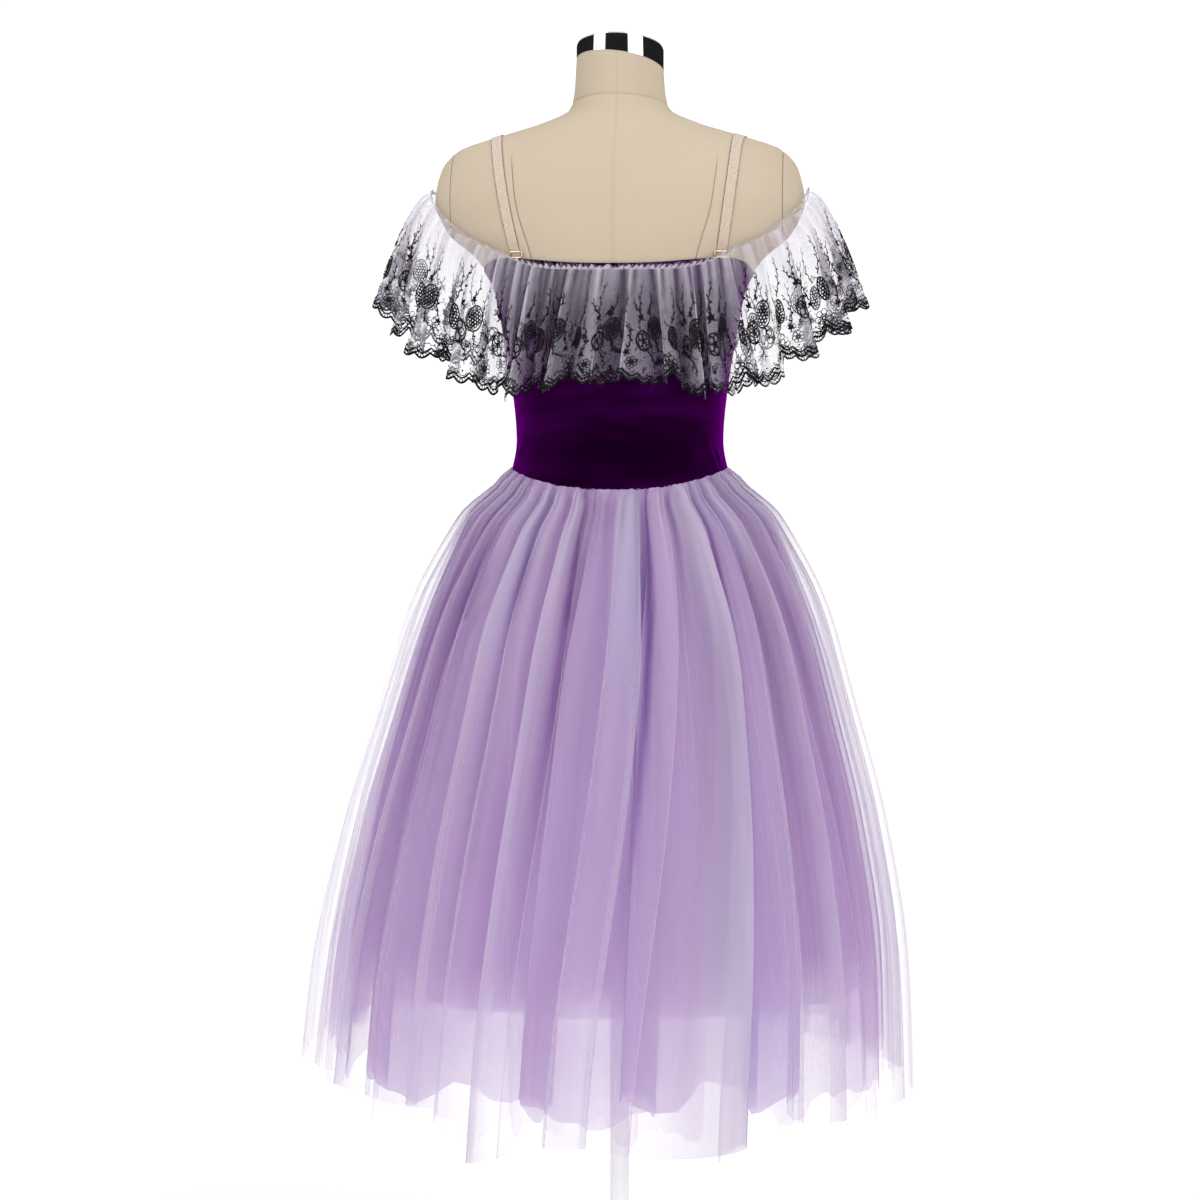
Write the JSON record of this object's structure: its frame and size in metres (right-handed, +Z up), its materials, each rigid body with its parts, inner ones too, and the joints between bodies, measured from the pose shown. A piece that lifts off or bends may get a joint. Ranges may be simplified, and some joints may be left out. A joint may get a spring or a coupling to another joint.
{
  "type": "ballet tutu on a dress form",
  "caption": "Romantic-length ballet tutu with a velvet bodice, off-shoulder lace ruffle and layered tulle skirt, on a limbless dress form that stands on a pole and a round base.",
  "frame": {"origin": "centre of the underside of the stand's round base, on the floor", "axes": "+Z up, the dress's front faces -Y, +X is the wearer's left side"},
  "size_m": [0.7017, 0.6579, 1.482],
  "materials": {
    "linen": "fine beige linen cover",
    "chrome": "polished",
    "white_metal": "white powder coat",
    "velvet": "dark purple stretch velvet",
    "lining": "opaque lilac lining cloth",
    "tulle": "sheer lilac tulle",
    "net": "white net with black embroidery",
    "elastic": "matt nude elastic",
    "gold_wire": "bright"
  },
  "bodies": {
    "root": {"form_torso": "linen", "form_arm_cap_left": "linen", "form_arm_cap_right": "linen", "form_neck_cap": "chrome", "stand_pole": "white_metal", "stand_base": "white_metal", "bodice_front": "velvet", "bodice_back": "velvet", "skirt_lining": "lining", "skirt_middle_tulle": "tulle", "skirt_outer_tulle": "tulle", "ruffle_lace": "net", "ruffle_heading": "net", "strap_left": "elastic", "strap_right": "elastic", "strap_slider_left": "gold_wire", "strap_slider_right": "gold_wire"}
  },
  "joints": []
}
